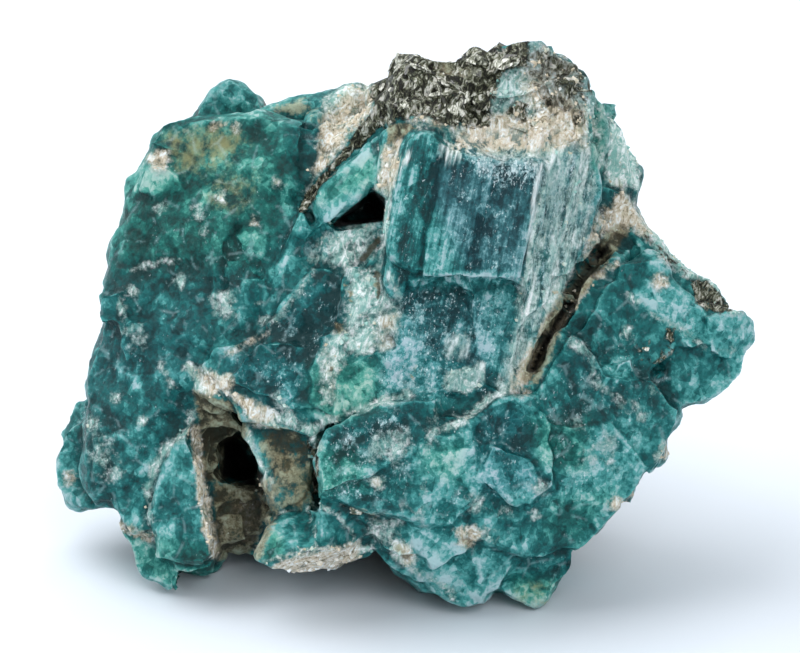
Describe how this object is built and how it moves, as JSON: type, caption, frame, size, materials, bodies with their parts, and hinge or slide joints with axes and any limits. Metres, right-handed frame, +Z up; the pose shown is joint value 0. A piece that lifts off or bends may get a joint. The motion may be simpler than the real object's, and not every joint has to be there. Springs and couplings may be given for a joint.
{
  "type": "rough grandidierite",
  "caption": "Rough grandidierite: blue-green crystals grown together with pale feldspar and a dark mica crust, broken from the rock, resting on worn flats underneath.",
  "frame": {"origin": "on the resting surface, under the middle of the piece's bounding box", "axes": "+Z up, +X to the right along the longest side, the display side leaning back and facing -Y"},
  "size_m": [0.0354, 0.0234, 0.027],
  "materials": {
    "grandidierite": "broken and slightly glossy, with pale and dark mineral crusts"
  },
  "bodies": {
    "root": {"grandidierite_cluster": "grandidierite"}
  },
  "joints": []
}
